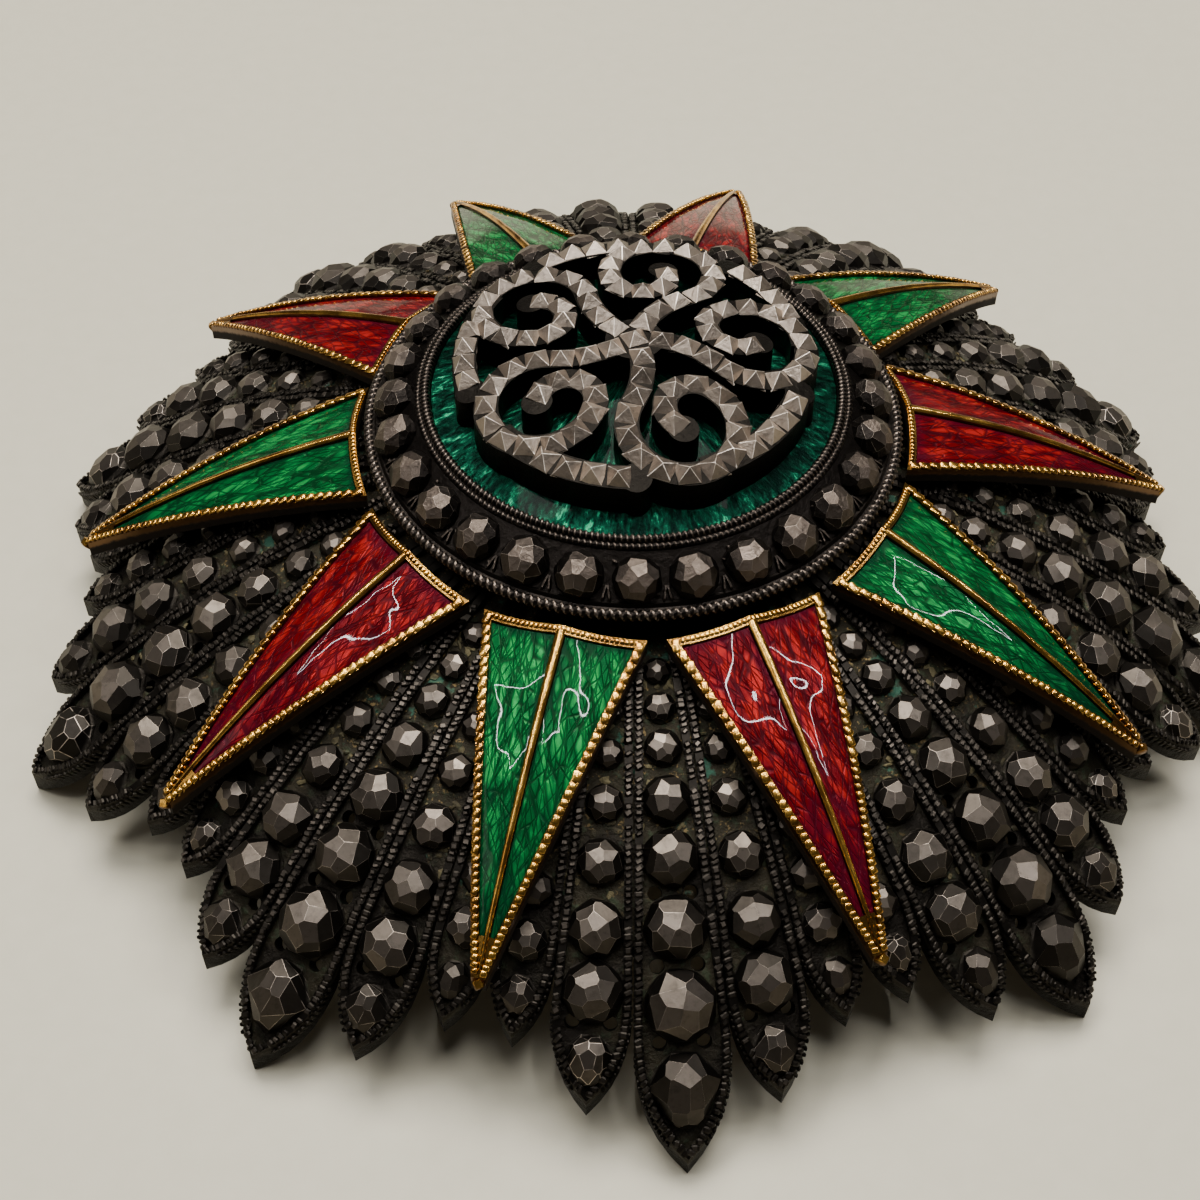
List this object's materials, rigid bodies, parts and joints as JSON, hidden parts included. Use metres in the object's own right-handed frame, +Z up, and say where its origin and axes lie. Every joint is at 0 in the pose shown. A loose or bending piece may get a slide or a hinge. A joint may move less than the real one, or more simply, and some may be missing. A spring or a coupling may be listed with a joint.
{
  "type": "breast star",
  "caption": "Domed breast star: faceted silver rays, enamelled gold rays between them, and a round enamel medallion under pierced scrollwork.",
  "frame": {"origin": "centre of the star on the plane that the tips of its long rays rest on", "axes": "+Z up through the crown of the medallion, -Y along the long ray that points to the viewer"},
  "size_m": [0.0854, 0.0898, 0.0278],
  "materials": {
    "silver_cut": "dark oxidised silver with polished facet edges",
    "silver_ring": "oxidised silver, roped and studded",
    "silver_scrolls": "oxidised silver cut in small pyramids",
    "silver_back": "plain worn silver",
    "gold": "bright gold with a beaded border",
    "enamel_green": "glossy translucent green enamel over an engraved ground",
    "enamel_red": "glossy translucent red enamel over an engraved ground",
    "enamel_medallion": "glossy deep green enamel over a radiating ground"
  },
  "bodies": {
    "root": {"backing_plate": "silver_back", "silver_cluster_1": "silver_cut", "silver_cluster_2": "silver_cut", "silver_cluster_3": "silver_cut", "silver_cluster_4": "silver_cut", "silver_cluster_5": "silver_cut", "silver_cluster_6": "silver_cut", "silver_cluster_7": "silver_cut", "silver_cluster_8": "silver_cut", "silver_cluster_9": "silver_cut", "silver_cluster_10": "silver_cut", "gold_ray_1": "gold", "gold_ray_2": "gold", "gold_ray_3": "gold", "gold_ray_4": "gold", "gold_ray_5": "gold", "gold_ray_6": "gold", "gold_ray_7": "gold", "gold_ray_8": "gold", "gold_ray_9": "gold", "gold_ray_10": "gold", "enamel_left_1": "enamel_green", "enamel_left_2": "enamel_red", "enamel_left_3": "enamel_green", "enamel_left_4": "enamel_red", "enamel_left_5": "enamel_green", "enamel_left_6": "enamel_red", "enamel_left_7": "enamel_green", "enamel_left_8": "enamel_red", "enamel_left_9": "enamel_green", "enamel_left_10": "enamel_red", "enamel_right_1": "enamel_green", "enamel_right_2": "enamel_red", "enamel_right_3": "enamel_green", "enamel_right_4": "enamel_red", "enamel_right_5": "enamel_green", "enamel_right_6": "enamel_red", "enamel_right_7": "enamel_green", "enamel_right_8": "enamel_red", "enamel_right_9": "enamel_green", "enamel_right_10": "enamel_red", "medallion_ring": "silver_ring", "medallion_enamel": "enamel_medallion", "scroll_ornament": "silver_scrolls", "brooch_pin": "silver_back"}
  },
  "joints": []
}
